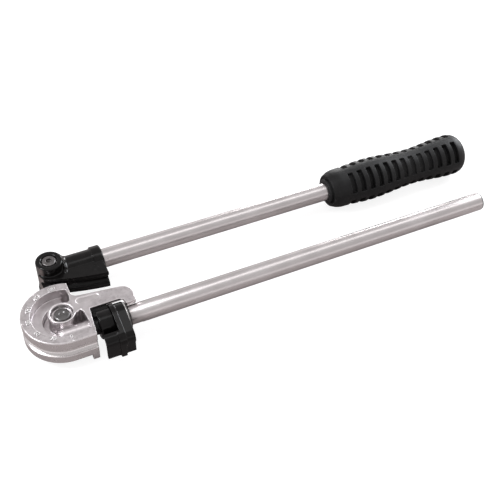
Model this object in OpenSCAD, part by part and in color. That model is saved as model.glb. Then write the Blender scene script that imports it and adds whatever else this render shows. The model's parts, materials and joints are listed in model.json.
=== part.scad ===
// Manual lever tube bender for 9.5 mm tube, opened to the end of its stroke.
// Every module works in die coordinates: origin on the die's axis at mid-thickness,
// +X along the fixed handle to its free end, +Y towards the moving handle, +Z up.
// placed() then moves the origin to the middle of the whole tool's base.

/* [Tube and die] */
// Outside diameter of the tube that is bent
tube_od = 9.525; // [8:0.005:10]
// Bend radius, to the middle of the bent tube
bend_radius = 38.1; // [37:0.1:39]
// Thickness of the forming die
die_height = 27.2; // [26:0.2:28]
// Radius of the die's centre pin
centre_pin_r = 7.45; // [7:0.05:8]

/* [Handles] */
// Outside diameter of both handle tubes
handle_od = 19.05; // [18:0.05:19.2]
// Wall of both handle tubes
handle_wall = 1.65; // [1.2:0.05:2]
// Distance of the fixed handle's axis in front of the die's axis
fixed_handle_offset = 17; // [16.5:0.1:17.5]
// Distance of the moving handle's axis behind the die's axis
moving_handle_offset = 64.5; // [64:0.1:66]
// Free end of the fixed handle, from the die's axis
fixed_handle_end = 456.5; // [440:0.5:470]

/* [Grip] */
// Length of the hand grip
grip_length = 178; // [175:1:182]
// Near end of the hand grip, from the die's axis
grip_start = 311; // [300:1:320]
// Radius of the grip at its two swellings
grip_bulge_r = 23; // [22.5:0.1:23]
// Radius of the grip at its waist
grip_waist_r = 19.8; // [19:0.1:20.5]
// Number of slots along the grip
grip_slots = 13; // [9:1:13]

/* [Link and pivot] */
// Distance of the moving pivot along X from the die's axis
pivot_x = 7.2; // [6:0.1:8]
// Top of the pivot boss above the die's middle plane
boss_top = 18.6; // [18:0.1:19.5]
// Outer radius of the pivot boss
boss_r = 13; // [12.5:0.1:13.2]
// Drop from the die's middle plane to the surface that the tool lies on
floor_drop = 23; // [23:0.1:23.4]

/* [Latch] */
// Right end of the latch, along X
latch_end = 53.9; // [53:0.1:54]
// Wall of the latch hook round the tube
hook_wall = 3; // [2.8:0.1:3.2]

/* [Hidden] */
$fn = 96;
eps = 0.01;
fit = 0.05;              // radial clearance of a running fit
fixed_y = -fixed_handle_offset;
moving_y = moving_handle_offset;
handle_r = handle_od / 2;
seat_r = handle_r - 0.3; // ground end of the fixed handle, pressed into the anchor block
seat_end = 68.2;
plug_flange = 1.5;       // thickness of the plug's head outside the tube
tube_inset = 8;          // from the end of the grip to the end of the tube inside it
spring_pin_r = 2.5;
spring_pin_top = handle_r - 0.6;
fixed_pin_x = 38;
moving_pin_x = 40;

// Die
half = die_height / 2;
groove_r = tube_od / 2 + 0.1;
rim_r = bend_radius - 0.8;
rim_chamfer = 0.9;
band_r = 28.3;           // inner edge of the flat band that carries the scale
hub_r = 12.6;
trench_r = 18.3;
shelf_z = 3.5;           // floor of the shallow pocket
trench_z = -4;           // floor of the deep pocket
end_front_x = 21.2;      // end face of the die at its front edge
end_back_x = 24.8;       // end face of the die where the tongue starts
flange_end_x = 14.3;
tongue_front_y = -5.2;
tongue_step_x = 54.2;    // past here the tongue comes forward over the fixed handle
tongue_z = 6;
stud_boss_r = 8;
stud_boss_end = 24.5;
scale_step = 30;
scale_marks = 7;

// Anchor block and latch
socket_r = 13.6;
block_left = 27.5;
block_bore_x = 29.5;
anchor_nut_end = 33.5;
shoulder_x = 41;
journal_r = 12;
journal_end = 57;
ring_seat = latch_end + 0.7;
ring_t = 1.2;
latch_r = 16.2;
latch_swing_r = 16.7;    // hollow in the tongue that the latch turns in
tube_y = -bend_radius;
hook_r = tube_od / 2 + 0.45;
hook_left = 26.4;
hook_bottom = -15.2;
hook_rib = 2;            // how far the rib stands out
hook_rib_left = 38.5;
stud_r = 5;

// Link
link_top = -half - 0.6;
pad_top = -11.7;
head_bottom = -11.1;
link_bush_r = 9.5;
boss_recess_r = 7.4;
boss_recess_z = 14.1;
recess_chamfer = 1.4;
bolt_r = 5;
bolt_thread_r = 4;
boss_bush_r = 7;

// Moving head
head_socket_r = 13;
collar_r = 14.6;
collar_start = 48.5;
head_end = 58.6;
head_bore_x = 24;        // bottom of the socket's bore
shoe_top = 9;
shoe_bottom = -11;
shoe_crown_r = 250;      // slight crown of the shoe's face
shoe_mid = [26.5, 41.2];
shoe_angle = -13.8;

// Whole tool
grip_end = grip_start + grip_length;
hook_front = tube_y - hook_r - hook_wall - hook_rib;
mid_x = (grip_end - rim_r) / 2;
mid_y = (moving_y + grip_bulge_r + hook_front) / 2;

aluminium = [0.80, 0.79, 0.78];
black_paint = [0.10, 0.10, 0.11];
steel = [0.72, 0.71, 0.70];
dark_steel = [0.28, 0.27, 0.27];
bronze = [0.62, 0.46, 0.26];
rubber = [0.17, 0.17, 0.18];

// ---------- helpers ----------

module placed() {
    translate([-mid_x, -mid_y, floor_drop]) children();
}

// A rod along +X from x0 to x1 on the line (y, z = 0).
module rod_x(x0, x1, y, r) {
    translate([x0, y, 0]) rotate([0, 90, 0]) cylinder(r = r, h = x1 - x0);
}

// Extrudes a drawing of the Y-Z plane from x0 to x1.
module slab_x(x0, x1) {
    translate([x0, 0, 0]) rotate([90, 0, 90]) linear_extrude(height = x1 - x0) children();
}

// A washer or bush standing on z0.
module ring_z(z0, z1, r_in, r_out) {
    translate([0, 0, z0]) difference() {
        cylinder(r = r_out, h = z1 - z0);
        translate([0, 0, -1]) cylinder(r = r_in, h = z1 - z0 + 2);
    }
}

// An open external retaining ring with two lug holes, standing on z = 0.
module snap_ring(r_in, r_out, t) {
    gap = 3;
    lug = 2.2;
    lug_y = gap / 2 + lug - 0.4;
    difference() {
        union() {
            cylinder(r = r_out, h = t);
            for (s = [-1, 1]) translate([r_out - 0.6, s * lug_y, 0]) cylinder(r = lug, h = t);
        }
        translate([0, 0, -1]) cylinder(r = r_in, h = t + 2);
        translate([0, -gap / 2, -1]) cube([r_out + 5, gap, t + 2]);
        for (s = [-1, 1]) translate([r_out - 0.4, s * lug_y, -1]) cylinder(r = 0.8, h = t + 2);
    }
}

// A hexagon nut standing on z = 0.
module hex_nut(across_flats, bore_r, t) {
    difference() {
        cylinder(r = across_flats / 2 / cos(30), h = t, $fn = 6);
        translate([0, 0, -1]) cylinder(r = bore_r, h = t + 2);
    }
}

// ---------- forming die ----------

// Half section of the rim: a grooved edge with chamfered flanges.
module rim_section() {
    difference() {
        polygon([
            [0, -half], [rim_r - rim_chamfer, -half], [rim_r, -half + rim_chamfer],
            [rim_r, half - rim_chamfer], [rim_r - rim_chamfer, half], [0, half]
        ]);
        translate([bend_radius, 0]) circle(r = groove_r);
    }
}

// Plan of the round former without the tongue.
module former_plan() {
    polygon([
        [-rim_r - 5, -rim_r - 5], [end_front_x - 0.5, -rim_r - 5], [end_back_x, tongue_front_y],
        [end_back_x, 14], [flange_end_x, 14.9], [flange_end_x, rim_r + 5], [-rim_r - 5, rim_r + 5]
    ]);
}

// Plan of the tongue that reaches along the fixed handle.
module tongue_plan() {
    polygon([
        [18, tongue_front_y], [tongue_step_x, tongue_front_y], [tongue_step_x, -12.6], [63.9, -12.6], [66, 0],
        [58.4, 9.5], [51.5, 10.5], [21.8, 14.4], [18, 14.9]
    ]);
    intersection() {
        translate([57, -1.4]) circle(r = 11);
        translate([tongue_step_x, -12.4]) square([20, 30]);
    }
    translate([63.9, -9.1]) circle(r = 3.5);
}

// Fillet between the flange's end and the tongue.
module tongue_fillet_plan() {
    r = 5.5;
    difference() {
        translate([flange_end_x - 1, 14]) square([r + 1.6, r + 1.6]);
        translate([flange_end_x + r, 14.8 + r]) circle(r = r);
        translate([flange_end_x + r, 14]) square([r, r + 2]);
        translate([flange_end_x - 1, 14.8 + r]) square([r + 2, r]);
    }
}

// Plan of the pocket between the hub, the scale band and the tongue's root.
module pocket_plan() {
    difference() {
        union() {
            intersection() {
                circle(r = band_r);
                polygon([[10.8, 12], [12, 18], [11, 40], [-40, 40], [-40, -40], [0, -40], [0, 0], [8, 10]]);
            }
            polygon([[-1, -27.8], [19.2, -27.8], [19.6, -20], [18.4, -5.5], [16.4, -3], [13, -5], [0, 0]]);
        }
        circle(r = hub_r);
    }
}

module deep_pocket_plan() {
    intersection() {
        pocket_plan();
        union() {
            circle(r = trench_r);
            translate([-8, -40]) square([40, 40]);
            translate([5.5, 10]) square([10, 30]);
        }
    }
}

// The raised part of the die that carries the anchor stud, round at its closed end.
module stud_boss() {
    rod_x(-3.5, stud_boss_end, fixed_y, stud_boss_r);
    translate([-3.5, fixed_y, 0]) sphere(r = stud_boss_r);
}

module scale_ticks() {
    for (i = [0:scale_marks - 1]) rotate([0, 0, -90 - i * scale_step]) {
        translate([rim_r - 2.6, -0.4, half - 0.5]) cube([4, 0.8, 2]);
    }
}

module former_body() {
    intersection() {
        union() {
            rotate_extrude($fn = 180) rim_section();
            mirror([0, 1, 0]) slab_x(0, 30) rim_section();
        }
        translate([0, 0, -half - 1]) linear_extrude(height = die_height + 2) former_plan();
    }
    // short foot that stops the link at the end of its swing
    translate([15, -rim_r, -half - 6]) cube([6.2, 4.5, 7]);
}

module tongue() {
    difference() {
        union() {
            translate([0, 0, tongue_z]) linear_extrude(height = half - tongue_z) tongue_plan();
            translate([0, 0, -half]) linear_extrude(height = die_height) tongue_fillet_plan();
            // web under the tongue
            translate([0, 9, 0]) rotate([90, 0, 0]) linear_extrude(height = 8)
                polygon([[20, -half], [27, -half], [50, tongue_z + 1], [20, tongue_z + 1]]);
        }
        rod_x(shoulder_x - 0.6, journal_end + 0.2, fixed_y, latch_swing_r);
        rod_x(journal_end, seat_end, fixed_y, handle_r + 0.5);
    }
}

// Plain oval recess on the tongue.
module tongue_recess() {
    translate([19, 7.6, half - 0.6]) cylinder(r = 3.6, h = 2);
    translate([34, 6.6, half - 0.6]) cylinder(r = 3.6, h = 2);
    translate([0, 0, half - 0.6]) linear_extrude(height = 2)
        polygon([[19, 4], [34, 3], [34, 10.2], [19, 11.2]]);
}

module forming_die() {
    color(aluminium) placed() difference() {
        union() {
            difference() {
                union() {
                    former_body();
                    tongue();
                }
                translate([0, 0, shelf_z]) linear_extrude(height = half) pocket_plan();
                translate([0, 0, trench_z]) linear_extrude(height = half - trench_z) deep_pocket_plan();
                tongue_recess();
                scale_ticks();
            }
            stud_boss();
        }
        // bore for the centre pin, with its counterbore and the keeper's hole
        translate([0, 0, -half - 1]) cylinder(r = centre_pin_r, h = die_height + 2);
        translate([0, 0, 8.5]) cylinder(r = 10.2, h = half);
        translate([0, 0, half - 1]) cylinder(r1 = 10.2, r2 = 11.2, h = 1 + eps);
        translate([1.3, centre_pin_r + 0.6, 3]) cylinder(r = 1.5, h = 8);
        rod_x(1.5, stud_boss_end + 1, fixed_y, stud_r);
        // ring-shaped hollow in the underside
        translate([0, 0, -half - 1]) difference() {
            cylinder(r = 28, h = 7.5);
            translate([0, 0, -1]) cylinder(r = 17, h = 10);
            translate([-6, -40, -1]) cube([60, 80, 10]);
        }
    }
}

module centre_pin() {
    groove_z = -22.2;
    color(dark_steel) placed() difference() {
        union() {
            translate([0, 0, -22.8]) cylinder(r = centre_pin_r, h = 22.8 + 11);
            translate([0, 0, 11]) cylinder(r1 = centre_pin_r, r2 = centre_pin_r - 1.2, h = 1);
        }
        ring_z(groove_z, groove_z + ring_t, centre_pin_r - 0.7, centre_pin_r + 2);
        translate([1.3, centre_pin_r + 0.6, 3]) cylinder(r = 1.5, h = 20);
        translate([0, 0, 11.4]) cylinder(r = 3, h = 2);
    }
}

module pin_lock_dowel() {
    color(steel) placed() translate([1.3, centre_pin_r + 0.6, 3]) cylinder(r = 1.5, h = 7);
}

// ---------- anchor block and its stud ----------

module anchor_block() {
    wall_x = 25.4;
    wall_y = -15;
    color(black_paint) placed() difference() {
        union() {
            rod_x(block_left + 1, shoulder_x, fixed_y, socket_r);
            translate([block_left, fixed_y, 0]) rotate([0, 90, 0])
                cylinder(r1 = socket_r - 1, r2 = socket_r, h = 1);
            rod_x(shoulder_x - 1, journal_end, fixed_y, journal_r);
            rod_x(stud_boss_end, block_left + 1, fixed_y, stud_boss_r);
            // rear wall that bears on the tongue
            translate([wall_x, wall_y, -9]) cube([shoulder_x - wall_x, tongue_front_y - wall_y, 20]);
            translate([wall_x, -9.6, 10]) cube([shoulder_x - wall_x, 3, 2.2]);
        }
        rod_x(block_bore_x, journal_end + 1, fixed_y, seat_r);
        rod_x(20, 40, fixed_y, stud_r);
        // groove for the latch's retaining ring
        difference() {
            rod_x(ring_seat, ring_seat + ring_t, fixed_y, journal_r + 3);
            rod_x(ring_seat - 1, ring_seat + ring_t + 1, fixed_y, journal_r - 0.8);
        }
        pin_hole(fixed_pin_x, fixed_y, socket_r);
    }
}

module anchor_stud() {
    color(steel) placed() rod_x(3, anchor_nut_end, fixed_y, stud_r);
}

module anchor_washer() {
    color(steel) placed() translate([block_bore_x, fixed_y, 0]) rotate([0, 90, 0]) ring_z(0, 1, stud_r, 9);
}

module anchor_nut() {
    color(steel) placed() translate([block_bore_x + 1, fixed_y, 0]) rotate([0, 90, 0])
        hex_nut(15, stud_r, anchor_nut_end - block_bore_x - 1);
}

// ---------- handles ----------

// Blind hole for a spring pin, from under a socket of radius r to the handle tube's top.
module pin_hole(x, y, r) {
    translate([x, y, -r - 1]) cylinder(r = spring_pin_r, h = r + 1 + spring_pin_top);
}

// A slit spring pin from the underside, through both walls of a handle tube.
module spring_pin(x, y, z0) {
    translate([x, y, z0]) difference() {
        cylinder(r = spring_pin_r, h = spring_pin_top - z0);
        translate([0, 0, -1]) cylinder(r = spring_pin_r - 1, h = 40);
        translate([0, -0.4, -1]) cube([5, 0.8, 40]);
    }
}

module fixed_handle_tube() {
    x0 = anchor_nut_end + 0.3;
    x1 = fixed_handle_end - plug_flange;
    color(steel) placed() difference() {
        union() {
            rod_x(x0, seat_end, fixed_y, seat_r);
            rod_x(seat_end, x1, fixed_y, handle_r);
        }
        rod_x(x0 - 1, x1 + 1, fixed_y, handle_r - handle_wall);
        pin_hole(fixed_pin_x, fixed_y, handle_r);
    }
}

module fixed_handle_pin() {
    color(steel) placed() spring_pin(fixed_pin_x, fixed_y, -socket_r + 0.6);
}

module fixed_handle_plug() {
    neck_r = handle_r - handle_wall;
    plug_length = 16;
    color(rubber) placed() translate([fixed_handle_end - plug_length, fixed_y, 0]) rotate([0, 90, 0])
        rotate_extrude() polygon([
            [0, 2], [neck_r - 2, 2], [neck_r - 2, 0], [neck_r, 0.5], [neck_r, plug_length - plug_flange],
            [handle_r - 0.1, plug_length - plug_flange], [handle_r - 0.5, plug_length - 0.6],
            [handle_r - 1.6, plug_length], [0, plug_length]
        ]);
}

module moving_handle_tube() {
    color(steel) placed() difference() {
        rod_x(head_bore_x, grip_end - tube_inset, moving_y, handle_r);
        rod_x(head_bore_x - 1, grip_end, moving_y, handle_r - handle_wall);
        pin_hole(moving_pin_x, moving_y, handle_r);
    }
}

module moving_handle_pin() {
    color(steel) placed() spring_pin(moving_pin_x, moving_y, -head_socket_r + 0.6);
}

// ---------- tube latch ----------

// Section of the latch's arm: a ring of radius r round the journal that reaches over the tube.
module latch_arm_section(r, outer) {
    reach = fixed_y - tube_y;
    lean = acos((r - outer) / reach);
    translate([fixed_y, 0]) circle(r = r);
    translate([tube_y, 0]) circle(r = outer);
    polygon([
        [fixed_y, 0], [fixed_y - r * cos(lean), r * sin(lean)],
        [tube_y - outer * cos(lean), outer * sin(lean)], [tube_y - 2, 0]
    ]);
}

// Section of the hook: it curls over the tube's top and hangs down in front of it.
module hook_section() {
    outer = hook_r + hook_wall;
    difference() {
        translate([tube_y, 0]) circle(r = outer);
        translate([tube_y - outer - 1, -outer - 1]) square([2 * outer + 2, outer + 1]);
        translate([tube_y + 2, -outer]) square([outer, 3 * outer]);
    }
    translate([tube_y - outer, hook_bottom]) square([hook_wall, -hook_bottom + eps]);
}

module latch_solid() {
    outer = hook_r + hook_wall;
    rib_outer = outer + hook_rib;
    arm_rib_right = shoulder_x + 4.5;
    slab_x(shoulder_x, arm_rib_right) latch_arm_section(latch_r, rib_outer);
    slab_x(arm_rib_right - eps, latch_end) latch_arm_section(latch_r - 1.2, outer);
    slab_x(hook_left, latch_end - 0.6) hook_section();
    // the raised rib goes on down the hook's front
    slab_x(hook_rib_left, hook_rib_left + 5.5) {
        intersection() {
            translate([tube_y, 0]) circle(r = rib_outer);
            translate([tube_y - rib_outer, -1]) square([rib_outer, rib_outer + 1]);
        }
        translate([tube_y - rib_outer, hook_bottom - 0.8]) square([hook_rib + hook_wall, 0.8 - hook_bottom]);
    }
}

module tube_latch() {
    color(black_paint) placed() difference() {
        latch_solid();
        rod_x(shoulder_x - 1, latch_end + 1, fixed_y, journal_r + fit);
        rod_x(hook_left - 1, latch_end + 1, tube_y, hook_r);
        // way in for the tube from below
        slab_x(hook_left - 1, latch_end + 1) translate([tube_y - hook_r, -30]) square([2 * hook_r, 30]);
    }
}

module latch_spring_washer() {
    color(steel) placed() translate([latch_end, fixed_y, 0]) rotate([0, 90, 0])
        ring_z(0, 0.7, journal_r + 0.1, 14.4);
}

module latch_retaining_ring() {
    color(dark_steel) placed() translate([ring_seat, fixed_y, 0]) rotate([0, 90, 0])
        snap_ring(journal_r - 0.8, journal_r + 1.6, ring_t);
}

// ---------- link ----------

module link_plan() {
    angle = atan2(moving_y, pivot_x);
    circle(r = 13.5);
    translate([pivot_x, moving_y]) circle(r = 14);
    rotate([0, 0, angle]) translate([0, -10.5]) square([norm([pivot_x, moving_y]), 21]);
}

module link_arm() {
    color(black_paint) placed() difference() {
        union() {
            translate([0, 0, -floor_drop]) linear_extrude(height = link_top + floor_drop) link_plan();
            translate([pivot_x, moving_y, link_top - 2]) cylinder(r = 13.5, h = pad_top - link_top + 2);
        }
        translate([0, 0, -floor_drop - 1]) cylinder(r = link_bush_r, h = 12);
        translate([0, 0, -floor_drop - 1]) cylinder(r = 11.5, h = 3.4);
        translate([pivot_x, moving_y, -floor_drop - 1]) cylinder(r = bolt_thread_r, h = 14);
        translate([pivot_x, moving_y, -floor_drop - 1]) cylinder(r = 8.6, h = 5.8);
    }
}

module link_bush() {
    color(bronze) placed() ring_z(-20.6, link_top, centre_pin_r + fit, link_bush_r);
}

module link_thrust_washer() {
    color(steel) placed() ring_z(link_top, -half, centre_pin_r + 0.15, 13);
}

module link_retaining_ring() {
    color(dark_steel) placed() translate([0, 0, -22.2]) rotate([0, 0, 200])
        snap_ring(centre_pin_r - 0.7, centre_pin_r + 1.5, ring_t);
}

// ---------- moving pivot ----------

module at_pivot() {
    placed() translate([pivot_x, moving_y, 0]) children();
}

module boss_bolt() {
    head_z = boss_recess_z + 0.5;
    color(dark_steel) at_pivot() difference() {
        union() {
            translate([0, 0, -22.6]) cylinder(r = bolt_thread_r, h = 22.6 + pad_top + 1);
            translate([0, 0, pad_top]) cylinder(r = bolt_r, h = head_z - pad_top + 1);
            translate([0, 0, head_z]) cylinder(r = 6.7, h = 3);
            translate([0, 0, head_z + 3]) cylinder(r1 = 6.7, r2 = 6, h = 0.7);
        }
        translate([0, 0, head_z + 1]) cylinder(r = 3.2, h = 6, $fn = 6);
    }
}

module boss_bolt_nut() {
    color(steel) at_pivot() translate([0, 0, -22.2]) hex_nut(13, bolt_thread_r, 4);
}

module boss_top_washer() {
    color(steel) at_pivot() ring_z(boss_recess_z, boss_recess_z + 0.5, bolt_r + 0.1, 7.2);
}

module boss_thrust_washer() {
    color(steel) at_pivot() ring_z(pad_top, head_bottom, bolt_r + 0.1, 13);
}

module boss_bushes() {
    color(bronze) at_pivot() {
        ring_z(head_bottom, head_bottom + 10, bolt_r + fit, boss_bush_r);
        ring_z(boss_recess_z - 10, boss_recess_z, bolt_r + fit, boss_bush_r);
    }
}

// ---------- moving head ----------

// Plan of the shoe before its face is crowned.
module shoe_plan() {
    polygon([[-2.4, 48], [-6.2, 58.6], [0, 64.5], [50, 64.5], [56.8, 50.6], [56.8, 30], [20, 30]]);
}

module crown_centre() {
    translate([shoe_mid[0] - shoe_crown_r * sin(shoe_angle), shoe_mid[1] + shoe_crown_r * cos(shoe_angle), 0])
        children();
}

module shoe() {
    intersection() {
        translate([0, 0, shoe_bottom]) linear_extrude(height = shoe_top - shoe_bottom) shoe_plan();
        crown_centre() translate([0, 0, shoe_bottom - 1]) cylinder(r = shoe_crown_r, h = 30, $fn = 360);
    }
}

module moving_head() {
    color(black_paint) placed() difference() {
        union() {
            shoe();
            rod_x(pivot_x, head_end - 4, moving_y, head_socket_r);
            rod_x(collar_start, head_end - 1, moving_y, collar_r);
            translate([head_end - 1, moving_y, 0]) rotate([0, 90, 0])
                cylinder(r1 = collar_r, r2 = collar_r - 1, h = 1);
            translate([pivot_x, moving_y, head_bottom]) cylinder(r = boss_r, h = boss_top - head_bottom - 1);
            translate([pivot_x, moving_y, boss_top - 1]) cylinder(r1 = boss_r, r2 = boss_r - 1, h = 1);
        }
        // tube groove of the shoe
        crown_centre() rotate_extrude($fn = 360) translate([shoe_crown_r + 0.8, 0]) circle(r = groove_r);
        // pivot bore and the bolt head's recess
        translate([pivot_x, moving_y, -20]) cylinder(r = boss_bush_r, h = 40);
        translate([pivot_x, moving_y, boss_recess_z]) cylinder(r = boss_recess_r, h = 10);
        translate([pivot_x, moving_y, boss_top - recess_chamfer])
            cylinder(r1 = boss_recess_r, r2 = boss_recess_r + recess_chamfer, h = recess_chamfer + eps);
        // flat underside where the link passes
        translate([pivot_x, moving_y, head_bottom - 10]) cylinder(r = 17, h = 10);
        rod_x(head_bore_x, head_end + 1, moving_y, handle_r);
        pin_hole(moving_pin_x, moving_y, head_socket_r);
    }
}

// ---------- hand grip ----------

// Smooth step from a at u = 0 to b at u = 1.
function ease(a, b, u) = a + (b - a) * (1 - cos(180 * u)) / 2;

// Radius of the grip at distance x from its near end.
function grip_r(x) =
    x < 16 ? 14.5 + 6.6 * sqrt(1 - pow(1 - x / 16, 2)) :
    x < 52 ? ease(21.1, grip_bulge_r, (x - 16) / 36) :
    x < 109 ? ease(grip_bulge_r, grip_waist_r, (x - 52) / 57) :
    x < 156 ? ease(grip_waist_r, grip_bulge_r, (x - 109) / 47) :
    grip_bulge_r * pow(max(0, 1 - pow((x - 156) / (grip_length - 156), 3)), 0.42);

module hand_grip() {
    slot_first = 26;
    slot_pitch = 11.05;
    slot_w = 6.1;
    slot_half = 14;
    collar_r = 13.4;         // collar where the tube enters
    collar_length = 3;
    steps = [
        3, 6, 10, 16, 24, 34, 44, 52, 62, 72, 82, 92,
        100, 109, 118, 127, 136, 146, 156, 162, 167, 171, 174, 176
    ];
    color(rubber) placed() translate([grip_start, moving_y, 0]) difference() {
        rotate([0, 90, 0]) rotate_extrude() polygon(concat(
            [[0, 0], [collar_r, 0], [collar_r, collar_length]],
            [for (x = steps) [grip_r(x), x]],
            [[grip_r(grip_length - 0.6), grip_length - 0.6], [0, grip_length]]
        ));
        rod_x(-1, grip_length - tube_inset, 0, handle_r);
        for (row = [45:90:315], i = [0:grip_slots - 1]) rotate([row, 0, 0]) {
            x = slot_first + i * slot_pitch;
            slot_floor = 5.2 + 0.6 * grip_r(x);
            translate([x - slot_w / 2, -slot_half, slot_floor]) cube([slot_w, 2 * slot_half, 10]);
        }
    }
}

forming_die();
centre_pin();
pin_lock_dowel();
anchor_block();
anchor_stud();
anchor_washer();
anchor_nut();
fixed_handle_tube();
fixed_handle_pin();
fixed_handle_plug();
tube_latch();
latch_spring_washer();
latch_retaining_ring();
link_arm();
link_bush();
link_thrust_washer();
link_retaining_ring();
boss_bolt();
boss_bolt_nut();
boss_top_washer();
boss_thrust_washer();
boss_bushes();
moving_head();
moving_handle_tube();
moving_handle_pin();
hand_grip();
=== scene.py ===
import json
import math

import bmesh
import bpy
import numpy as np
from mathutils import Matrix, Vector


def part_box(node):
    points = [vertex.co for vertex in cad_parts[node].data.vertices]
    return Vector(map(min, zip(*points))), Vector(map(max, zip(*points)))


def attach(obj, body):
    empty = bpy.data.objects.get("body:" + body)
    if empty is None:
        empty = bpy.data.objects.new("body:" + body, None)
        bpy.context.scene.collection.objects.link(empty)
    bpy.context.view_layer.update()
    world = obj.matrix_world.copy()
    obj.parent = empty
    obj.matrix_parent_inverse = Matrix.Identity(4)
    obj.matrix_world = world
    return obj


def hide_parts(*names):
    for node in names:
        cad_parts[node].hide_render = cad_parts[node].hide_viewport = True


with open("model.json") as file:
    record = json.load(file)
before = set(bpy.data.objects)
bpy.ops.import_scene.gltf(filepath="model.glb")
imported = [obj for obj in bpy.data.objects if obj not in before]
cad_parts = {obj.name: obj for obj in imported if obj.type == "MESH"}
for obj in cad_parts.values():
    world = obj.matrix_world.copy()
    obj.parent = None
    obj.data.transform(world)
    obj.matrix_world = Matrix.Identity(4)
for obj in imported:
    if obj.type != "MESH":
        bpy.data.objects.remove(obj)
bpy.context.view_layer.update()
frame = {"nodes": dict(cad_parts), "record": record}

# Lever tube bender. Sizes below are millimetres in the die's own frame: origin on the die's axis at
# mid-thickness, +X along the fixed handle, +Y to the moving handle, +Z up. MM turns them to metres.
MM = 0.001
DIE_HALF = 13.6
SCALE_STEP = 30
SCALE_MARKS = 7
TUBE_RADIUS = 9.525
TUBE_WALL = 1.65
MOST_TRIANGLES = 190000
SLOT_OF = {part["node"]: part["material_slot"] for part in frame["record"]["subparts"]}


def middle(node):
    """The middle of a CAD node's box, in metres."""
    low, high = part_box(node)
    return (low + high) / 2


DIE = middle("centre_pin")
DIE.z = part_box("forming_die")[1].z - DIE_HALF * MM
PIVOT = middle("boss_thrust_washer")
PIVOT.z = DIE.z
FIXED_AXIS = middle("fixed_handle_tube")
MOVING_AXIS = middle("moving_handle_tube")
PIVOT_X = (PIVOT.x - DIE.x) / MM
MOVING_Y = (PIVOT.y - DIE.y) / MM


# ---------- material nodes ----------

class Finish:
    """One procedural material on a Principled shader, with short calls for its nodes."""

    def __init__(self, name, colour, roughness, metallic=0.0, specular=0.5):
        self.material = bpy.data.materials.new(name)
        self.material.use_nodes = True
        self.material.diffuse_color = (*colour, 1)
        self.tree = self.material.node_tree
        self.shader = self.tree.nodes["Principled BSDF"]
        self.set("Base Color", (*colour, 1))
        self.set("Roughness", roughness)
        self.set("Metallic", metallic)
        self.set("Specular IOR Level", specular)

    def set(self, socket, value):
        self.shader.inputs[socket].default_value = value

    def feed(self, socket, source):
        self.tree.links.new(source, self.shader.inputs[socket])

    def node(self, kind, inputs=(), **settings):
        made = self.tree.nodes.new(kind)
        for key, value in settings.items():
            setattr(made, key, value)
        for key, value in dict(inputs).items():
            if isinstance(value, bpy.types.NodeSocket):
                self.tree.links.new(value, made.inputs[key])
            else:
                made.inputs[key].default_value = value
        return made

    def place(self, scale=(1, 1, 1), centre=(0, 0, 0)):
        """Object coordinates, measured from centre and then stretched by scale."""
        start = self.node("ShaderNodeTexCoord").outputs["Object"]
        shift = self.node("ShaderNodeVectorMath", {0: start, 1: tuple(centre)}, operation="SUBTRACT")
        sized = self.node("ShaderNodeVectorMath", {0: shift.outputs[0], 1: scale}, operation="MULTIPLY")
        return sized.outputs[0]

    def local(self, centre):
        """Object coordinates in millimetres from centre, as three outputs."""
        return self.node("ShaderNodeSeparateXYZ", {0: self.place((1 / MM, 1 / MM, 1 / MM), centre)}).outputs

    def across(self, x, y):
        """Distance from the upright axis that x and y are measured from."""
        return self.math("SQRT", self.math("ADD", self.math("MULTIPLY", x, x), self.math("MULTIPLY", y, y)))

    def lathe(self, radius, height, scale):
        """Rings that follow radius and height, like the marks of a turning tool."""
        where = self.node("ShaderNodeCombineXYZ", {0: radius, 1: 0.0, 2: height}).outputs[0]
        return self.noise(where, scale, 2)

    def noise(self, where, scale, detail=3.0, roughness=0.55):
        made = self.node("ShaderNodeTexNoise", {"Vector": where, "Scale": scale, "Detail": detail,
                                                "Roughness": roughness})
        return made.outputs["Fac"]

    def math(self, kind, first, second=0.0):
        return self.node("ShaderNodeMath", {0: first, 1: second}, operation=kind).outputs[0]

    def span(self, value, low, high, to_low=0.0, to_high=1.0, smooth=False):
        """Value's stretch from low to high, mapped to to_low and to_high."""
        made = self.node("ShaderNodeMapRange", {"Value": value, "From Min": low, "From Max": high,
                                                "To Min": to_low, "To Max": to_high})
        made.interpolation_type = "SMOOTHSTEP" if smooth else "LINEAR"
        return made.outputs["Result"]

    def blend(self, amount, first, second):
        """Colour that goes from first to second as amount goes from 0 to 1."""
        made = self.node("ShaderNodeMix", data_type="RGBA")
        for index, value in ((0, amount), (6, first), (7, second)):
            if isinstance(value, bpy.types.NodeSocket):
                self.tree.links.new(value, made.inputs[index])
            elif index == 0:
                made.inputs[index].default_value = value
            else:
                made.inputs[index].default_value = (*value, 1)
        return made.outputs[2]

    def bump(self, height, depth, strength=1.0, over=None):
        """Relief of the given depth in metres, over an earlier relief if there is one."""
        inputs = {"Height": height, "Distance": depth, "Strength": strength}
        if over is not None:
            inputs["Normal"] = over
        return self.node("ShaderNodeBump", inputs).outputs["Normal"]

    def edges(self, low, high):
        """0 on flats and 1 on outward edges (or the other way if low is above high)."""
        corner = self.node("ShaderNodeNewGeometry").outputs["Pointiness"]
        return self.span(corner, low, high)


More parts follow.
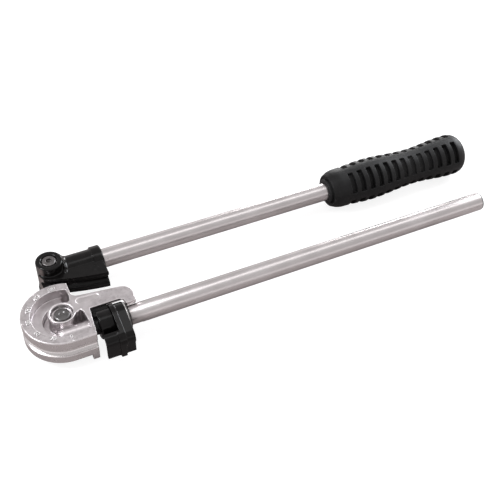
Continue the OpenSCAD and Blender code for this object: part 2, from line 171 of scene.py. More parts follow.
def cast_aluminium():
    """Satin die casting: fine skin, painted shade in its hollows, bright rubbed edges, and a machined tube
    groove.
    """
    f = Finish("cast_aluminium", (0.60, 0.565, 0.575), 0.36, metallic=1.0)
    where = f.place()
    cloud = f.noise(where, 130, 4)
    grain = f.noise(where, 1900, 3, 0.6)
    skin = f.blend(f.span(cloud, 0.3, 0.7), (0.52, 0.485, 0.495), (0.64, 0.605, 0.615))
    # painted shade: the skin goes darker in hollows and inner corners, where shade falls
    skin = f.blend(f.math("MULTIPLY", f.edges(0.497, 0.455), 0.7), skin, (0.20, 0.185, 0.19))
    skin = f.blend(f.edges(0.508, 0.545), skin, (0.88, 0.86, 0.86))
    # machined: outside radius 33, between the two rim chamfers
    x, y, z = f.local(DIE)
    radius = f.across(x, y)
    height = f.math("ABSOLUTE", z)
    machined = f.math("MULTIPLY", f.span(radius, 32.6, 33.1), f.span(height, 13.2, 12.8))
    on_band = f.math("MULTIPLY", f.span(radius, 27.5, 29.0), f.span(z, 13.2, 13.45))
    grime = f.math("MULTIPLY", on_band, f.span(f.noise(where, 420, 4), 0.48, 0.66))
    skin = f.blend(f.math("MULTIPLY", grime, 0.3), skin, (0.27, 0.25, 0.25))
    f.feed("Base Color", f.blend(machined, skin, (0.62, 0.59, 0.59)))
    rough = f.span(cloud, 0.3, 0.7, 0.30, 0.42)
    f.feed("Roughness", f.math("SUBTRACT", rough, f.math("MULTIPLY", machined, 0.12)))
    lines = f.lathe(radius, z, 5.0)
    cast_relief = f.math("MULTIPLY", grain, f.math("SUBTRACT", 1.0, machined))
    relief = f.bump(cast_relief, 0.05 * MM, 0.55)
    relief = f.bump(cloud, 0.5 * MM, 0.25, relief)
    relief = f.bump(f.math("MULTIPLY", lines, machined), 0.02 * MM, 0.5, relief)
    f.feed("Normal", relief)
    return f.material


def handle_steel(name, axis):
    """Bright drawn tube: faint lengthwise draw lines and soft cloudy wear."""
    f = Finish(name, (0.56, 0.53, 0.53), 0.3, metallic=1.0)
    stretched = f.place((5, 420, 420), axis)
    lines = f.noise(stretched, 1.0, 4, 0.6)
    cloud = f.noise(f.place(), 45, 4)
    tone = f.blend(f.span(cloud, 0.3, 0.7), (0.55, 0.52, 0.52), (0.62, 0.59, 0.59))
    f.feed("Base Color", f.blend(f.span(lines, 0.35, 0.75, 0.0, 0.3), tone, (0.46, 0.43, 0.43)))
    f.feed("Roughness", f.span(f.math("ADD", cloud, f.math("MULTIPLY", lines, 0.6)), 0.55, 1.1, 0.27, 0.36))
    f.feed("Normal", f.bump(lines, 0.01 * MM, 0.15))
    return f.material


def black_casting():
    """Semi-gloss black enamel over a casting, rubbed brown-grey on its outer edges."""
    f = Finish("black_casting", (0.004, 0.0035, 0.0035), 0.16, specular=0.2)
    where = f.place()
    cloud = f.noise(where, 160, 4)
    peel = f.noise(where, 900, 2)
    rubbed = f.math("MULTIPLY", f.edges(0.525, 0.60), f.span(f.noise(where, 420, 4), 0.42, 0.6))
    tone = f.blend(f.span(cloud, 0.3, 0.7), (0.002, 0.0018, 0.0018), (0.005, 0.0044, 0.0044))
    tone = f.blend(rubbed, tone, (0.05, 0.038, 0.036))
    # bare left end of the forming shoe
    x, y, _ = f.local(DIE)
    facing = f.node("ShaderNodeSeparateXYZ", {0: f.node("ShaderNodeTexCoord").outputs["Normal"]}).outputs[0]
    worn = f.math("MULTIPLY", f.span(facing, -0.6, -0.8), f.span(x, 3, 1))
    worn = f.math("MULTIPLY", worn, f.span(y, 62, 56))
    f.feed("Base Color", f.blend(worn, tone, (0.13, 0.105, 0.10)))
    f.feed("Roughness", f.span(cloud, 0.3, 0.7, 0.12, 0.24))
    relief = f.bump(peel, 0.06 * MM, 0.35)
    f.feed("Normal", f.bump(cloud, 0.5 * MM, 0.3, relief))
    return f.material


def turned_steel(name, centre, colour, roughness):
    """Steel turned on a lathe: rings round its own axis, which is upright through centre."""
    f = Finish(name, colour, roughness, metallic=1.0)
    x, y, z = f.local(centre)
    rings = f.lathe(f.across(x, y), z, 4.0)
    cloud = f.noise(f.place(), 260, 4)
    dark = tuple(0.6 * c for c in colour)
    f.feed("Base Color", f.blend(f.span(cloud, 0.35, 0.7), colour, dark))
    f.feed("Roughness", f.span(cloud, 0.3, 0.7, roughness - 0.08, roughness + 0.1))
    f.feed("Normal", f.bump(rings, 0.05 * MM, 0.5))
    return f.material


def zinc_steel():
    """Plain bright hardware with a faint mottled plating."""
    f = Finish("zinc_steel", (0.60, 0.59, 0.58), 0.34, metallic=1.0)
    cloud = f.noise(f.place(), 420, 4)
    f.feed("Base Color", f.blend(f.span(cloud, 0.3, 0.7), (0.50, 0.49, 0.48), (0.68, 0.67, 0.65)))
    f.feed("Roughness", f.span(cloud, 0.3, 0.7, 0.26, 0.44))
    f.feed("Normal", f.bump(f.noise(f.place(), 1800, 2), 0.03 * MM, 0.4))
    return f.material


def bronze():
    """Sintered bronze: small dark pores in a warm metal."""
    f = Finish("bronze", (0.55, 0.38, 0.20), 0.42, metallic=1.0)
    pores = f.node("ShaderNodeTexVoronoi", {"Vector": f.place(), "Scale": 2200.0}).outputs["Distance"]
    f.feed("Base Color", f.blend(f.span(pores, 0.1, 0.35), (0.28, 0.18, 0.10), (0.57, 0.40, 0.22)))
    f.feed("Roughness", f.span(f.noise(f.place(), 500, 3), 0.3, 0.7, 0.36, 0.52))
    f.feed("Normal", f.bump(pores, 0.05 * MM, 0.4))
    return f.material


def grip_rubber():
    """Matte moulded rubber: fine stipple, lighter on the outer edges of the ribs than down in the slots."""
    f = Finish("grip_rubber", (0.006, 0.006, 0.0062), 0.5, specular=0.22)
    where = f.place()
    cloud = f.noise(where, 70, 5)
    stipple = f.noise(where, 2300, 2, 0.6)
    tone = f.blend(f.span(cloud, 0.3, 0.7), (0.004, 0.004, 0.0042), (0.008, 0.0079, 0.0082))
    # lighter on convex edges, by pointiness
    f.feed("Base Color", f.blend(f.edges(0.51, 0.58), tone, (0.018, 0.0175, 0.0185)))
    f.feed("Roughness", f.span(cloud, 0.3, 0.7, 0.46, 0.60))
    relief = f.bump(stipple, 0.05 * MM, 0.6)
    f.feed("Normal", f.bump(cloud, 0.4 * MM, 0.2, relief))
    return f.material


def plug_plastic():
    """Matte moulded plastic."""
    f = Finish("plug_plastic", (0.08, 0.08, 0.08), 0.5)
    cloud = f.noise(f.place(), 200, 4)
    f.feed("Base Color", f.blend(f.span(cloud, 0.3, 0.7), (0.07, 0.07, 0.07), (0.11, 0.11, 0.11)))
    f.feed("Roughness", f.span(cloud, 0.3, 0.7, 0.42, 0.58))
    f.feed("Normal", f.bump(f.noise(f.place(), 1500, 2), 0.04 * MM, 0.4))
    return f.material


FINISH = {
    "cast_aluminium": cast_aluminium(),
    "black_casting": black_casting(),
    "handle_steel": handle_steel("handle_steel", FIXED_AXIS),
    "dark_steel": turned_steel("dark_steel", DIE, (0.17, 0.165, 0.165), 0.36),
    "zinc_steel": zinc_steel(),
    "bronze": bronze(),
    "grip_rubber": grip_rubber(),
    "plug_plastic": plug_plastic(),
}
MOVING_STEEL = handle_steel("handle_steel_moving", MOVING_AXIS)
BOLT_STEEL = turned_steel("bolt_steel", PIVOT, (0.20, 0.19, 0.19), 0.34)


def raised_metal():
    """Tops of the raised numerals, rubbed brighter than the skin round them, with painted shade on their
    sides.
    """
    f = Finish("raised_metal", (0.92, 0.90, 0.90), 0.3, metallic=1.0)
    wear = f.noise(f.place(), 900, 3)
    height = f.local(DIE)[2]
    top = f.blend(f.span(wear, 0.35, 0.7), (1.0, 0.99, 0.99), (0.88, 0.86, 0.86))
    # painted shade: the numerals' sides, below the tops, are near-black
    f.feed("Base Color", f.blend(f.span(height, DIE_HALF + 0.2, DIE_HALF + 0.42), (0.04, 0.035, 0.035), top))
    f.feed("Roughness", f.span(wear, 0.3, 0.7, 0.24, 0.4))
    f.feed("Normal", f.bump(wear, 0.06 * MM, 0.4))
    return f.material


NUMERAL_METAL = raised_metal()


# ---------- mesh helpers ----------

def helper(mesh):
    """A passing object that carries a mesh while modifiers work on it."""
    made = bpy.data.objects.new("helper", mesh)
    bpy.context.scene.collection.objects.link(made)
    return made


def settled(made):
    """The mesh of a helper with its modifiers worked in. The helper goes."""
    graph = bpy.context.evaluated_depsgraph_get()
    mesh = bpy.data.meshes.new_from_object(made.evaluated_get(graph), depsgraph=graph)
    bpy.data.objects.remove(made)
    return mesh


def add_piece(name, mesh, body, nodes, material=None):
    """A finished piece on a body, standing for CAD nodes and taking the first one's finish."""
    mesh.name = name
    mesh.materials.clear()
    mesh.materials.append(material or FINISH[SLOT_OF[nodes[0]]])
    made = bpy.data.objects.new(name, mesh)
    bpy.context.scene.collection.objects.link(made)
    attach(made, body)
    return made


def stand_in(name, mesh, body, nodes, material=None):
    """A finished piece that replaces its CAD nodes."""
    made = add_piece(name, mesh, body, nodes, material)
    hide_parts(*nodes)
    return made


def rounded(outline, closed):
    """Rounds the corners of an outline of (along, out, corner radius), and holds its straights."""
    result = []
    count = len(outline)
    for i, (x, y, radius) in enumerate(outline):
        here = Vector((x, y))
        if radius <= 0 or (not closed and i in (0, count - 1)):
            result.append(here)
            continue
        before = Vector(outline[i - 1][:2]) - here
        after = Vector(outline[(i + 1) % count][:2]) - here
        turn = before.angle(after)
        reach = min(radius / math.tan(turn / 2), 0.46 * before.length, 0.46 * after.length)
        size = reach * math.tan(turn / 2)
        start, end = here + before.normalized() * reach, here + after.normalized() * reach
        centre = here + (before.normalized() + after.normalized()).normalized() * math.hypot(size, reach)
        hold = min(0.25 * reach, 0.2)
        result.append(start + before.normalized() * hold)
        steps = 6
        a, b = start - centre, end - centre
        whole = a.angle(b)
        for k in range(steps + 1):
            t = k / steps
            arm = (a * math.sin((1 - t) * whole) + b * math.sin(t * whole)) / math.sin(whole)
            result.append(centre + arm)
        result.append(end + after.normalized() * hold)
    return [(p.x, p.y) for p in result]


def join_rings(bm, pairs, sides):
    """Faces between pairs of rings of points, either of which may be one point on the axis."""
    for first, second in pairs:
        for k in range(sides):
            n = (k + 1) % sides
            corners = [first[k % len(first)], first[n % len(first)]]
            corners += [second[n % len(second)], second[k % len(second)]]
            unique = list(dict.fromkeys(corners))
            if len(unique) > 2:
                bm.faces.new(unique)


def turned(outline, origin, axis, closed=True, sides=96):
    """A lathe-turned solid: (along, radius, corner) points round an axis through origin, in millimetres."""
    profile = rounded(outline, closed)
    bm = bmesh.new()
    rings = []
    for along, radius in profile:
        if radius < 1e-6:
            rings.append([bm.verts.new((along, 0, 0))])
            continue
        turns = [2 * math.pi * k / sides for k in range(sides)]
        rings.append([bm.verts.new((along, radius * math.cos(t), radius * math.sin(t))) for t in turns])
    pairs = list(zip(rings, rings[1:])) + ([(rings[-1], rings[0])] if closed else [])
    join_rings(bm, pairs, sides)
    turn = Matrix() if axis == "X" else Matrix.Rotation(-math.pi / 2, 4, "Y")
    return finished(bm, Matrix.Translation(origin) @ turn @ Matrix.Scale(MM, 4))


def finished(bm, place):
    """Merges, turns the faces outwards, places the mesh and shades it."""
    bmesh.ops.remove_doubles(bm, verts=bm.verts, dist=1e-5)
    bmesh.ops.recalc_face_normals(bm, faces=bm.faces)
    bmesh.ops.transform(bm, matrix=place, verts=bm.verts)
    mesh = bpy.data.meshes.new("made")
    bm.to_mesh(mesh)
    bm.free()
    mesh.shade_smooth()
    return mesh


def merged_copy(node):
    """A welded copy of a CAD node's mesh."""
    bm = bmesh.new()
    bm.from_mesh(frame["nodes"][node].data)
    bmesh.ops.remove_doubles(bm, verts=bm.verts, dist=2e-6)
    return bm


def points_of(mesh):
    """The mesh's points as an array."""
    flat = np.empty(len(mesh.vertices) * 3)
    mesh.vertices.foreach_get("co", flat)
    return flat.reshape(-1, 3)


def relax(mesh, rounds, weight=None):
    """Moves each point half way to the middle of its neighbours, rounds times, by weight."""
    points = points_of(mesh)
    count = len(points)
    ends = np.empty(len(mesh.edges) * 2, np.int32)
    mesh.edges.foreach_get("vertices", ends)
    one, two = ends[0::2], ends[1::2]
    share = np.bincount(one, minlength=count) + np.bincount(two, minlength=count)
    pull = 0.5 * (np.ones(count) if weight is None else weight)
    for _ in range(rounds):
        for k in range(3):
            near = np.bincount(one, points[two, k], count) + np.bincount(two, points[one, k], count)
            points[:, k] += pull * (near / share - points[:, k])
    mesh.vertices.foreach_set("co", points.ravel())
    mesh.update()


def near(mesh, spots):
    """Weight per point: 1 at a spot, falling to 0 at its reach. Spots are (x, y, z, reach) in millimetres."""
    points = (points_of(mesh) - np.array(DIE)) / MM
    weight = np.zeros(len(points))
    for x, y, z, reach in spots:
        away = np.linalg.norm(points - np.array((x, y, z)), axis=1) / reach
        weight = np.maximum(weight, np.clip(1.5 - 1.5 * away, 0, 1))
    return weight


def casting(name, node, body, voxel, rounds, soft_spots=(), soft_rounds=0, extra=None, material=None):
    """A cast piece: the CAD node's solid re-skinned finely, so that every edge gets a cast radius."""
    bm = merged_copy(node)
    if extra:
        extra(bm)
    mesh = bpy.data.meshes.new(name)
    bm.to_mesh(mesh)
    bm.free()
    work = helper(mesh)
    skin = work.modifiers.new("skin", "REMESH")
    skin.mode = "VOXEL"
    skin.voxel_size = voxel * MM
    mesh = settled(work)
    relax(mesh, rounds)
    if soft_rounds:
        relax(mesh, soft_rounds, near(mesh, soft_spots))
    triangles = 2 * len(mesh.polygons)
    if triangles > MOST_TRIANGLES:
        work = helper(mesh)
        thin = work.modifiers.new("thin", "DECIMATE")
        thin.ratio = MOST_TRIANGLES / triangles
        mesh = settled(work)
    mesh.shade_smooth()
    return stand_in(name, mesh, body, [node], material)


# ---------- forming die ----------

def forming_die():
    pocket = (0, -4, 12, 42)
    casting("die_casting", "forming_die", "former", voxel=0.3, rounds=4, soft_spots=[pocket], soft_rounds=14)


def die_numerals():
    """Raised degree numbers round the scale, feet to the rim."""
    size, radius, proud = 5.4, 31.2, 0.6
    bm = bmesh.new()
    for i in range(SCALE_MARKS):
        text = bpy.data.curves.new("numeral", "FONT")
        text.body = str(i * SCALE_STEP)
        text.size = size * MM
        text.extrude = proud * MM
        text.bevel_depth = 0.09 * MM
        text.bevel_resolution = 2
        text.resolution_u = 6
        text.align_x = "CENTER"
        text.align_y = "CENTER"
        mesh = settled(helper(text))
        angle = math.radians(-90 - i * SCALE_STEP)
        spot = DIE + Vector((radius * math.cos(angle), radius * math.sin(angle), DIE_HALF)) * MM
        mesh.transform(Matrix.Translation(spot) @ Matrix.Rotation(angle + math.pi / 2, 4, "Z"))
        bm.from_mesh(mesh)
    bmesh.ops.remove_doubles(bm, verts=bm.verts, dist=1e-7)
    mesh = bpy.data.meshes.new("numerals")
    bm.to_mesh(mesh)
    bm.free()
    mesh.shade_smooth()
    mesh.set_sharp_from_angle(angle=math.radians(40))
    add_piece("die_numerals", mesh, "former", ["forming_die"], NUMERAL_METAL)


def centre_pin():
    """Turned pin with a domed top and a centre drilling."""
    r, low, high = 7.45, -22.8, 12.0
    outline = [
        (low, 0, 0), (low, r, 0.8), (-22.2, r, 0), (-22.2, r - 0.7, 0), (-21.0, r - 0.7, 0), (-21.0, r, 0),
        (high - 1, r, 0.3), (high - 0.25, r - 1.1, 0.5), (high - 0.1, 3.1, 0.2), (high - 0.7, 2.2, 0.3),
        (high - 0.8, 0, 0),
    ]
    stand_in("centre_pin_turned", turned(outline, DIE, "Z", closed=False), "former", ["centre_pin"])
    dowel = [(3, 0, 0), (3, 1.5, 0.2), (10, 1.5, 0.5), (10, 0, 0)]
    spot = middle("pin_lock_dowel")
    spot.z = DIE.z
    stand_in("lock_dowel", turned(dowel, spot, "Z", closed=False, sides=32), "former", ["pin_lock_dowel"])


# ---------- anchor block, latch and link ----------

def castings():
    casting("anchor_casting", "anchor_block", "former", voxel=0.3, rounds=5)
    casting("latch_casting", "tube_latch", "latch", voxel=0.3, rounds=6)
    casting("link_casting", "link_arm", "link", voxel=0.4, rounds=5)
    fillets = [(20, MOVING_Y, 10, 14), (20, MOVING_Y - 10, 9, 9), (PIVOT_X, MOVING_Y, 18.6, 15)]
    casting("head_casting", "moving_head", "moving_handle", voxel=0.32, rounds=6,
            soft_spots=fillets, soft_rounds=12, extra=head_dressing)
    casting("pivot_bolt", "boss_bolt", "link", voxel=0.16, rounds=3, material=BOLT_STEEL)


def socket_flare(bm):
    """The head's socket widens in a hollow curve where it runs into the boss."""
    curve, end, start, socket_r, sides = 6.0, 25.5, 19.8, 13.0, 64
    places = [end - (end - start) * k / 10 for k in range(11)]
    sizes = [socket_r - 0.02 + curve - math.sqrt(curve ** 2 - (end - x) ** 2) for x in places]
    rings = []
    for x, size in zip(places + [16.0], sizes + [sizes[-1] - 3.5]):
        turns = [2 * math.pi * k / sides for k in range(sides)]
        spots = [(x, MOVING_Y + size * math.cos(t), max(-4, size * math.sin(t))) for t in turns]
        rings.append([bm.verts.new(DIE + Vector(spot) * MM) for spot in spots])
    for first, second in zip(rings, rings[1:]):
        for k in range(sides):
            n = (k + 1) % sides
            bm.faces.new((first[k], first[n], second[n], second[k]))
    bm.faces.new(rings[0][::-1])
    bm.faces.new(rings[-1])


def head_dressing(bm):
    """Raised casting ring on top of the shoe, and the flare beside the boss."""
    socket_flare(bm)
    centre, top = DIE + Vector((46, 47, 9)) * MM, 0.6
    rings = []
    for k in range(32):
        t = 2 * math.pi * k / 32
        arm = Vector((math.cos(t), math.sin(t), 0))
        corners = ((2.5, -0.6), (3.5, -0.6), (3.3, top), (2.7, top))
        rings.append([bm.verts.new(centre + (arm * out + Vector((0, 0, up))) * MM) for out, up in corners])
    for first, second in zip(rings, rings[1:] + rings[:1]):
        for j in range(4):
            n = (j + 1) % 4
            bm.faces.new((first[j], second[j], second[n], first[n]))


# ---------- handles ----------

def ring_outline(low, high, inner, outer, corner):
    return [(low, inner, corner), (low, outer, corner), (high, outer, corner), (high, inner, corner)]


def handles():
    wall, outer = TUBE_WALL, TUBE_RADIUS
    seat = outer - 0.3
    low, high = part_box("fixed_handle_tube")
    start, end = (low.x - DIE.x) / MM, (high.x - DIE.x) / MM
    axis = Vector((DIE.x, FIXED_AXIS.y, FIXED_AXIS.z))
    seat_end = 68.2
    outline = [
        (start, outer - wall, 0.3), (start, seat, 0.3), (seat_end, seat, 0), (seat_end + 0.3, outer, 0),
        (end, outer, 0.8), (end, outer - wall, 0.3),
    ]
    stand_in("fixed_tube", turned(outline, axis, "X"), "former", ["fixed_handle_tube"])
    tip = (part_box("fixed_handle_plug")[1].x - DIE.x) / MM
    neck = outer - wall
    plug = [
        (tip - 14, 0, 0), (tip - 14, neck - 2, 0.3), (tip - 16, neck - 2, 0.3), (tip - 16, neck, 0.3),
        (tip - 1.5, neck, 0), (tip - 1.5, outer - 0.1, 0.2), (tip, outer - 0.6, 1.0), (tip, 0, 0),
    ]
    stand_in("fixed_plug", turned(plug, axis, "X", closed=False), "former", ["fixed_handle_plug"])
    low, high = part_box("moving_handle_tube")
    start, end = (low.x - DIE.x) / MM, (high.x - DIE.x) / MM
    axis = Vector((DIE.x, MOVING_AXIS.y, MOVING_AXIS.z))
    outline = ring_outline(start, end, outer - wall, outer, 0.3)
    stand_in("moving_tube", turned(outline, axis, "X"), "moving_handle", ["moving_handle_tube"], MOVING_STEEL)


# ---------- hand grip ----------

GRIP = {"slots": 13, "first": 26.0, "pitch": 11.05, "width": 6.0, "half_angle": 32.5, "floor": 17.8,
        "corner": 0.9, "lip": 0.6, "wall": 0.35}


def grip_radius(x, length):
    """Radius of the grip's outside at x from its near end."""
    def ease(a, b, u):
        return a + (b - a) * (1 - math.cos(math.pi * u)) / 2
    if x < 8.5:
        return 17.5 + 2.3 * (x - 3.6) / 4.9
    if x < 16:
        return 19.8 + 1.3 * math.sin(math.pi / 2 * (x - 8.5) / 7.5)
    if x < 52:
        return ease(21.1, 23.0, (x - 16) / 36)
    if x < 109:
        return ease(23.0, 19.8, (x - 52) / 57)
    if x < 158:
        return ease(19.8, 23.0, (x - 109) / 49)
    return 23.0 * max(0.0, 1 - (max(0.0, x - 161) / (length - 161)) ** 2.6) ** 0.46


def socket(tree, name, kind="NodeSocketFloat", way="INPUT"):
    return tree.interface.new_socket(name=name, in_out=way, socket_type=kind)


def slot_tree():
    """Presses rows of rounded slots into a round body that lies along X through the origin."""
    tree = bpy.data.node_groups.new("grip_slots", "GeometryNodeTree")
    socket(tree, "Geometry", "NodeSocketGeometry")
    for name in ("Slots", "First", "Pitch", "Width", "Half angle", "Floor", "Corner", "Lip", "Wall", "Rows"):
        socket(tree, name)
    socket(tree, "Material", "NodeSocketMaterial")
    socket(tree, "Geometry", "NodeSocketGeometry", "OUTPUT")
    nodes, links = tree.nodes, tree.links
    given = nodes.new("NodeGroupInput").outputs

    def link(value, target):
        if isinstance(value, bpy.types.NodeSocket):
            links.new(value, target)
        else:
            target.default_value = value

    def calc(kind, first, second=0.0, third=0.0):
        made = nodes.new("ShaderNodeMath")
        made.operation = kind
        for value, target in zip((first, second, third), made.inputs):
            link(value, target)
        return made.outputs[0]

    place = nodes.new("ShaderNodeSeparateXYZ")
    links.new(nodes.new("GeometryNodeInputPosition").outputs[0], place.inputs[0])
    x, y, z = place.outputs
    radius = calc("SQRT", calc("ADD", calc("MULTIPLY", y, y), calc("MULTIPLY", z, z)))
    # how far from the middle of the nearest slot, along the grip and round it
    along = calc("SUBTRACT", x, given["First"])
    number = calc("ROUND", calc("DIVIDE", along, given["Pitch"]))
    number = calc("MINIMUM", calc("MAXIMUM", number, 0.0), calc("SUBTRACT", given["Slots"], 1.0))
    off_x = calc("ABSOLUTE", calc("SUBTRACT", along, calc("MULTIPLY", number, given["Pitch"])))
    step = calc("DIVIDE", 2 * math.pi, given["Rows"])
    angle = calc("ADD", calc("ARCTAN2", z, y), 2 * math.pi)
    past_step = calc("FLOORED_MODULO", angle, step)
    in_step = calc("ABSOLUTE", calc("SUBTRACT", past_step, calc("MULTIPLY", step, 0.5)))
    half_arc = calc("MULTIPLY", given["Half angle"], radius)
    off_round = calc("MULTIPLY", in_step, radius)
    # distance inside a rectangle with rounded corners
    beyond_x = calc("ADD", calc("SUBTRACT", off_x, calc("MULTIPLY", given["Width"], 0.5)), given["Corner"])
    beyond_r = calc("ADD", calc("SUBTRACT", off_round, half_arc), given["Corner"])
    out_x, out_r = calc("MAXIMUM", beyond_x, 0.0), calc("MAXIMUM", beyond_r, 0.0)
    outside = calc("SQRT", calc("ADD", calc("MULTIPLY", out_x, out_x), calc("MULTIPLY", out_r, out_r)))
    inside = calc("MINIMUM", calc("MAXIMUM", beyond_x, beyond_r), 0.0)
    deep = calc("SUBTRACT", given["Corner"], calc("ADD", outside, inside))
    # rounded lip, then a steep wall down to the floor
    lip = given["Lip"]
    on_lip = calc("MINIMUM", calc("MAXIMUM", calc("ADD", deep, lip), 0.0), lip)
    squared = calc("SUBTRACT", calc("MULTIPLY", lip, lip), calc("MULTIPLY", on_lip, on_lip))
    drop_lip = calc("SUBTRACT", lip, calc("SQRT", calc("MAXIMUM", squared, 0.0)))
    ramp = nodes.new("ShaderNodeMapRange")
    ramp.interpolation_type = "SMOOTHSTEP"
    links.new(deep, ramp.inputs["Value"])
    links.new(given["Wall"], ramp.inputs["From Max"])
    depth = calc("SUBTRACT", radius, given["Floor"])
    drop_wall = calc("MULTIPLY", calc("MAXIMUM", calc("SUBTRACT", depth, lip), 0.0), ramp.outputs["Result"])
    kept = calc("SUBTRACT", radius, calc("ADD", drop_lip, drop_wall))
    shrink = calc("DIVIDE", kept, calc("MAXIMUM", radius, 0.001))
    new_place = nodes.new("ShaderNodeCombineXYZ")
    for value, target in zip((x, calc("MULTIPLY", y, shrink), calc("MULTIPLY", z, shrink)), new_place.inputs):
        links.new(value, target)
    move = nodes.new("GeometryNodeSetPosition")
    links.new(given["Geometry"], move.inputs["Geometry"])
    links.new(calc("GREATER_THAN", depth, lip), move.inputs["Selection"])
    links.new(new_place.outputs[0], move.inputs["Position"])
    real = nodes.new("GeometryNodeRealizeInstances")
    paint = nodes.new("GeometryNodeSetMaterial")
    links.new(move.outputs[0], real.inputs[0])
    links.new(real.outputs[0], paint.inputs["Geometry"])
    links.new(given["Material"], paint.inputs["Material"])
    links.new(paint.outputs[0], nodes.new("NodeGroupOutput").inputs[0])
    return tree


def give(work, tree, values):
    """Puts a node tree on a helper, with its named inputs."""
    modifier = work.modifiers.new(tree.name, "NODES")
    modifier.node_group = tree
    for item in tree.interface.items_tree:
        if item.in_out == "INPUT" and item.name in values:
            modifier[item.identifier] = values[item.name]
    return modifier


def grip_stations(length):
    """Distances along the grip, close together where a slot's lip and wall turn."""
    close = (-0.62, -0.58, -0.42, -0.27, -0.13, -0.04, 0.0, 0.12, 0.22, 0.36, 0.5)
    found = [3.6, 4.4, 5.4, 6.4, 7.4, 8.2, 8.6, 9.0, 9.8, 11, 12.8, 14.6, 16.4, 18.4, 20.6]
    for i in range(GRIP["slots"]):
        mid, half = GRIP["first"] + i * GRIP["pitch"], GRIP["width"] / 2
        found += [mid - half + c for c in close] + [mid - 1.0, mid + 1.0]
        found += [mid + half - c for c in reversed(close)] + [mid + GRIP["pitch"] / 2]
    found += [length - c for c in (10, 8.2, 6.6, 5.2, 4, 3, 2.2, 1.5, 1.0, 0.6, 0.3, 0.1, 0.02)]
    return sorted(set(round(x, 4) for x in found))


def grip_turns():
    """Angles round the grip, close together where a slot ends."""
    close = (-0.62, -0.45, -0.3, -0.15, -0.04, 0.1, 0.24, 0.38, 0.6, 0.9)
    mean = 21.5
    half = GRIP["half_angle"]
    found = []
    for row in (45, 135, 225, 315):
        found += [row - half + math.degrees(c / mean) for c in close]
        found += [row + half - math.degrees(c / mean) for c in reversed(close)]
        inner = half - 3.2
        found += [row - inner + inner * 2 * k / 10 for k in range(1, 10)]
        found += [row + 45 + s for s in (-9, -4.5, 0, 4.5, 9)]
    return [math.radians(a) for a in sorted(found)]


def hand_grip():
    low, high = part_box("hand_grip")
    length = (high.x - low.x) / MM
    bore, inset = TUBE_RADIUS, 8.0
    stations = grip_stations(length)
    near_face = [
        (0.35, bore, 0), (0, bore + 0.35, 0), (0, 11.2, 0), (0.1, 12.4, 0), (0.45, 13.0, 0),
        (1.1, 13.3, 0), (2.6, 13.4, 0), (3.9, 13.5, 0), (4.5, 13.8, 0), (4.8, 14.3, 0),
        (4.6, 15.0, 0), (3.7, 16.2, 0), (3.35, 16.7, 0), (3.3, 17.05, 0), (3.4, 17.3, 0),
    ]
    outline = [(length - inset, 0, 0), (length - inset, bore, 0)] + near_face
    outline += [(x, grip_radius(x, length), 0) for x in stations] + [(length, 0, 0)]
    bm = bmesh.new()
    turns = grip_turns()
    rings = []
    for along, radius, _ in outline:
        if radius < 1e-6:
            rings.append([bm.verts.new((along, 0, 0))])
        else:
            rings.append([bm.verts.new((along, radius * math.cos(t), radius * math.sin(t))) for t in turns])
    join_rings(bm, zip(rings, rings[1:]), len(turns))
    work = helper(finished(bm, Matrix()))
    give(work, slot_tree(), {
        "Slots": float(GRIP["slots"]), "First": GRIP["first"], "Pitch": GRIP["pitch"],
        "Width": GRIP["width"], "Half angle": math.radians(GRIP["half_angle"]), "Floor": GRIP["floor"],
        "Corner": GRIP["corner"], "Lip": GRIP["lip"], "Wall": GRIP["wall"], "Rows": 4.0,
        "Material": FINISH["grip_rubber"],
    })
    mesh = settled(work)
    mesh.transform(Matrix.Translation((low.x, MOVING_AXIS.y, MOVING_AXIS.z)) @ Matrix.Scale(MM, 4))
    mesh.shade_smooth()
    stand_in("grip_moulding", mesh, "moving_handle", ["hand_grip"])


# ---------- small hardware ----------

def in_die_frame(node):
    """Lowest and highest corner of a CAD node in millimetres from the die's centre."""
    low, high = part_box(node)
    return (low - DIE) / MM, (high - DIE) / MM


def upright_ring(name, node, body, inner, centre, corner=0.15):
    """A washer or bush round an upright axis, with broken edges."""
    low, high = in_die_frame(node)
    outer = (high.x - low.x) / 2
    stand_in(name, turned(ring_outline(low.z, high.z, inner, outer, corner), centre, "Z"), body, [node])


def hardware():
    upright_ring("link_bush_turned", "link_bush", "link", 7.5, DIE)
    upright_ring("link_washer", "link_thrust_washer", "link", 7.6, DIE, 0.12)
    upright_ring("boss_washer_top", "boss_top_washer", "link", 5.1, PIVOT, 0.1)
    upright_ring("boss_washer_low", "boss_thrust_washer", "link", 5.1, PIVOT, 0.12)
    low, high = in_die_frame("latch_spring_washer")
    axis = Vector((DIE.x, FIXED_AXIS.y, FIXED_AXIS.z))
    washer = ring_outline(low.x, high.x, 12.1, 14.4, 0.15)
    stand_in("latch_washer", turned(washer, axis, "X"), "former", ["latch_spring_washer"])
    for node, slot in SLOT_OF.items():
        for place in frame["nodes"][node].material_slots:
            place.material = FINISH[slot]


forming_die()
die_numerals()
centre_pin()
castings()
handles()
hand_grip()
hardware()


# ---------- floor, light and camera ----------

def floor():
    mesh = bpy.data.meshes.new("floor")
    reach = 6.0
    corners = [(-reach, -reach, 0), (reach, -reach, 0), (reach, reach, 0), (-reach, reach, 0)]
    mesh.from_pydata(corners, [], [(0, 1, 2, 3)])
    made = helper(mesh)
    made.name = "floor"
    made.location.z = -0.0003
    paper = Finish("floor_paper", (0.5, 0.5, 0.5), 0.95, specular=0.0)
    seen = paper.node("ShaderNodeLightPath").outputs["Is Camera Ray"]
    paper.feed("Base Color", paper.blend(seen, (0.40, 0.37, 0.365), (0.3, 0.3, 0.3)))
    paper.set("Emission Color", (1, 1, 1, 1))
    paper.feed("Emission Strength", paper.math("MULTIPLY", seen, 0.84))
    mesh.materials.append(paper.material)


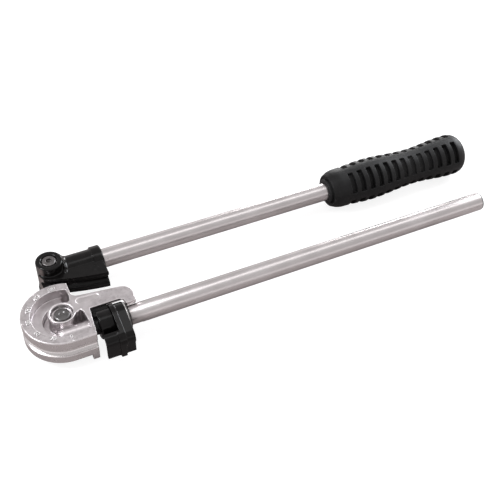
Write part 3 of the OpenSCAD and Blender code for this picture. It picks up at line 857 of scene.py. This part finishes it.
def soft_light(name, place, aim, width, depth, watts, colour=(1, 1, 1)):
    data = bpy.data.lights.new(name, "AREA")
    data.shape = "RECTANGLE"
    data.size, data.size_y = width, depth
    data.energy = watts
    data.color = colour
    made = bpy.data.objects.new(name, data)
    made.location = place
    made.rotation_mode = "QUATERNION"
    made.rotation_quaternion = (Vector(aim) - Vector(place)).to_track_quat("-Z", "Y")
    bpy.context.scene.collection.objects.link(made)


def studio():
    world = bpy.data.worlds.new("studio")
    bpy.context.scene.world = world
    world.use_nodes = True
    nodes, links = world.node_tree.nodes, world.node_tree.links
    where = nodes.new("ShaderNodeTexCoord").outputs["Generated"]
    split = nodes.new("ShaderNodeSeparateXYZ")
    links.new(where, split.inputs[0])
    ramp = nodes.new("ShaderNodeValToRGB")
    stops = ramp.color_ramp.elements
    stops[0].color = (1.3, 1.28, 1.28, 1)
    stops[1].color = (0.75, 0.74, 0.74, 1)
    for place, tone in ((0.16, 1.25), (0.36, 0.68), (0.72, 0.72)):
        stops.new(place).color = (tone, 0.975 * tone, 0.975 * tone, 1)
    links.new(split.outputs[2], ramp.inputs[0])
    links.new(ramp.outputs[0], nodes["Background"].inputs[0])
    nodes["Background"].inputs[1].default_value = 1.0
    soft_light("overhead_strip", (0.1, 0.0, 0.85), (0.1, 0.0, 0), 1.6, 0.22, 1.7)
    soft_light("left", (-0.80, 0.12, 0.72), (-0.2, 0.0, 0.02), 0.26, 0.26, 5, (0.95, 0.97, 1.0))
    soft_light("side", (0.80, 0.25, 0.38), (-0.2, 0.05, 0.02), 0.4, 0.4, 7, (0.93, 0.96, 1.0))
    soft_light("back", (0.55, 0.98, 0.20), (-0.2, 0.06, 0.01), 0.35, 0.3, 4)


def camera():
    azimuth, elevation, roll = math.radians(-27.174), math.radians(44.281), math.radians(2.172)
    aim, distance = Vector((-0.02825, -0.00386, 0.023)), 0.8485
    data = bpy.data.cameras.new("camera")
    data.sensor_width = 36
    data.lens = 60.70
    data.clip_start, data.clip_end = 0.01, 50
    level = math.cos(elevation)
    back = Vector((math.sin(azimuth) * level, -math.cos(azimuth) * level, math.sin(elevation)))
    right = Vector((math.cos(azimuth), math.sin(azimuth), 0))
    up = back.cross(right)
    side = right * math.cos(roll) + up * math.sin(roll)
    top = up * math.cos(roll) - right * math.sin(roll)
    made = bpy.data.objects.new("camera", data)
    turn = Matrix((side, top, back)).transposed().to_4x4()
    made.matrix_world = Matrix.Translation(aim + back * distance) @ turn
    bpy.context.scene.collection.objects.link(made)
    bpy.context.scene.camera = made


floor()
studio()
camera()
bpy.context.scene.view_settings.view_transform = "Standard"
